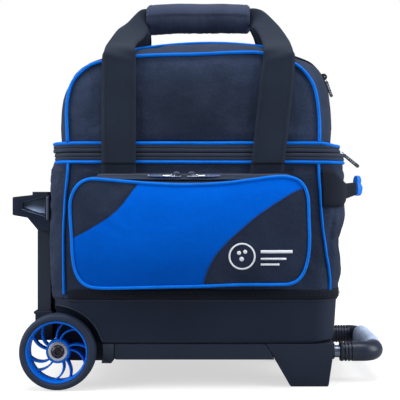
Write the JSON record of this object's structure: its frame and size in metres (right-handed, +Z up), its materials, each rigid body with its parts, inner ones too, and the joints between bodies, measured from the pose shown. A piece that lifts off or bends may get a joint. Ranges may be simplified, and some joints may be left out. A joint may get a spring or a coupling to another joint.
{
  "type": "rolling bowling bag",
  "caption": "Soft-sided wheeled bag for a bowling ball, with a zipped shoe compartment on top, a front pocket, carry handles and a telescopic pull handle.",
  "frame": {"origin": "on the floor, under the middle of the whole bag's box at rest, handle stowed", "axes": "+Z up, +X from the wheels towards the front lift handle, -Y towards the side with the accessory pocket"},
  "size_m": [0.5112, 0.2784, 0.5422],
  "materials": {
    "black_polyester": "woven polyester, matte",
    "blue_polyester": "woven polyester, matte",
    "blue_piping": "covered piping cord, satin",
    "black_webbing": "ribbed webbing, matte",
    "grip_wrap": "padded wrap, matte",
    "black_plastic": "moulded, fine grain",
    "tyre_rubber": "moulded, satin",
    "blue_rim_plastic": "moulded, glossy",
    "bearing_steel": "ground",
    "black_bolt": "black oxide",
    "dark_tube": "anodised",
    "zip_tape": "coil zip on woven tape",
    "zip_pull_metal": "plated",
    "black_foam": "closed-cell foam",
    "grey_grip_rubber": "soft-touch, matte",
    "blue_grip_rubber": "soft-touch, matte"
  },
  "bodies": {
    "bag_body": {"base_tub": "black_plastic", "wheel_chassis": "black_plastic", "base_skid": "black_plastic", "front_foot_near": "black_plastic", "front_foot_far": "black_plastic", "ball_cup_foam": "black_foam", "body_front_panel": "black_polyester", "body_rear_panel": "black_polyester", "body_side_left": "black_polyester", "body_side_right": "black_polyester", "main_zip_lower_tape": "zip_tape", "band_piping_lower": "blue_piping", "accessory_pocket": "blue_polyester", "pocket_piping": "blue_piping", "side_handle_strap": "black_webbing", "side_handle_grip": "blue_grip_rubber", "lift_handle_tube": "dark_tube", "lift_sleeve_near": "black_plastic", "lift_sleeve_far": "black_plastic", "lift_handle_grip": "grey_grip_rubber", "handle_column_near": "black_plastic", "handle_column_far": "black_plastic", "handle_top_bracket": "black_plastic", "handle_foot_bracket": "black_plastic", "axle_bolt_near": "black_bolt", "axle_bolt_far": "black_bolt"},
    "wheel_near": {"wheel_near_tyre": "tyre_rubber", "wheel_near_rim": "blue_rim_plastic", "wheel_near_bearing": "bearing_steel"},
    "wheel_far": {"wheel_far_tyre": "tyre_rubber", "wheel_far_rim": "blue_rim_plastic", "wheel_far_bearing": "bearing_steel"},
    "handle_stage_1": {"handle_tube_1_near": "dark_tube", "handle_tube_1_far": "dark_tube"},
    "handle_stage_2": {"handle_tube_2_near": "dark_tube", "handle_tube_2_far": "dark_tube"},
    "handle_stage_3": {"handle_tube_3_near": "dark_tube", "handle_tube_3_far": "dark_tube"},
    "handle_stage_4": {"handle_tube_4_near": "dark_tube", "handle_tube_4_far": "dark_tube", "pull_grip": "black_plastic"},
    "release_button": {"release_button": "blue_grip_rubber"},
    "lid": {"lid_base_panel": "black_polyester", "lid_shell": "black_polyester", "main_zip_upper_tape": "zip_tape", "band_piping_upper": "blue_piping", "dome_piping_front": "blue_piping"},
    "shoe_door": {"shoe_door": "black_polyester", "rear_handle_strap": "black_webbing", "rear_grip_cover": "grip_wrap"},
    "front_handle": {"front_handle_strap": "black_webbing", "front_grip_cover": "grip_wrap"},
    "pocket_slider_left": {"pocket_slider_left": "zip_pull_metal"},
    "pocket_slider_right": {"pocket_slider_right": "zip_pull_metal"},
    "pocket_pull_left": {"pocket_pull_left": "zip_pull_metal"},
    "pocket_pull_right": {"pocket_pull_right": "zip_pull_metal"},
    "main_slider": {"main_zip_slider": "zip_pull_metal"},
    "main_pull": {"main_zip_pull": "zip_pull_metal"},
    "shoe_slider": {"shoe_zip_slider": "zip_pull_metal"},
    "shoe_pull": {"shoe_zip_pull": "zip_pull_metal"}
  },
  "joints": [
    {"name": "wheel_near_spin", "type": "hinge", "parent": "bag_body", "child": "wheel_near", "pos_m": [-0.1909, -0.10063, 0.051], "axis": [0, 1, 0], "continuous": true},
    {"name": "wheel_far_spin", "type": "hinge", "parent": "bag_body", "child": "wheel_far", "pos_m": [-0.1909, 0.12537, 0.051], "axis": [0, 1, 0], "continuous": true},
    {"name": "handle_extend_1", "type": "slide", "parent": "bag_body", "child": "handle_stage_1", "axis": [0, 0, 1], "range_m": [0, 0.14]},
    {"name": "handle_extend_2", "type": "slide", "parent": "handle_stage_1", "child": "handle_stage_2", "axis": [0, 0, 1], "range_m": [0, 0.14]},
    {"name": "handle_extend_3", "type": "slide", "parent": "handle_stage_2", "child": "handle_stage_3", "axis": [0, 0, 1], "range_m": [0, 0.14]},
    {"name": "handle_extend_4", "type": "slide", "parent": "handle_stage_3", "child": "handle_stage_4", "axis": [0, 0, 1], "range_m": [0, 0.14]},
    {"name": "release_button_press", "type": "slide", "parent": "handle_stage_4", "child": "release_button", "axis": [0, 0, -1], "range_m": [0, 0.003], "stiffness_N_per_m": 400, "springref_m": -0.0005},
    {"name": "lid_open", "type": "hinge", "parent": "bag_body", "child": "lid", "pos_m": [-0.0039, 0.13737, 0.316], "axis": [-1, 0, 0], "range_deg": [0, 100]},
    {"name": "shoe_door_open", "type": "hinge", "parent": "lid", "child": "shoe_door", "pos_m": [-0.0094, 0.13537, 0.3315], "axis": [-1, 0, 0], "range_deg": [0, 80]},
    {"name": "front_handle_flop", "type": "hinge", "parent": "bag_body", "child": "front_handle", "pos_m": [-0.0079, -0.11323, 0.3], "axis": [1, 0, 0], "range_deg": [0, 125]},
    {"name": "pocket_slider_left_slide", "type": "slide", "parent": "bag_body", "child": "pocket_slider_left", "axis": [-1, 0, 0], "range_m": [0, 0.1]},
    {"name": "pocket_slider_right_slide", "type": "slide", "parent": "bag_body", "child": "pocket_slider_right", "axis": [1, 0, 0], "range_m": [0, 0.1]},
    {"name": "pocket_pull_left_flip", "type": "hinge", "parent": "pocket_slider_left", "child": "pocket_pull_left", "pos_m": [-0.0352, -0.12235, 0.28999], "axis": [0, -0.8896, -0.4567], "range_deg": [-110, 0]},
    {"name": "pocket_pull_right_flip", "type": "hinge", "parent": "pocket_slider_right", "child": "pocket_pull_right", "pos_m": [-0.0076, -0.12235, 0.28999], "axis": [0, 0.8896, 0.4567], "range_deg": [-110, 0]},
    {"name": "main_slider_slide", "type": "slide", "parent": "bag_body", "child": "main_slider", "axis": [0, 1, 0], "range_m": [0, 0.085]},
    {"name": "main_pull_flip", "type": "hinge", "parent": "main_slider", "child": "main_pull", "pos_m": [0.2009, -0.01263, 0.32], "axis": [0, 1, 0], "range_deg": [-90, 35]},
    {"name": "shoe_slider_slide", "type": "hinge", "parent": "lid", "child": "shoe_slider", "pos_m": [0.0916, 0.00677, 0.378], "axis": [0, -1, 0], "range_deg": [0, 53]},
    {"name": "shoe_pull_flip", "type": "hinge", "parent": "shoe_slider", "child": "shoe_pull", "pos_m": [0.17852, 0.00677, 0.43232], "axis": [0, -1, 0], "range_deg": [0, 150]}
  ],
  "couplings": [
    {"joint": "front_handle_flop", "follows": "lid_open", "ratio": 1.25}
  ]
}
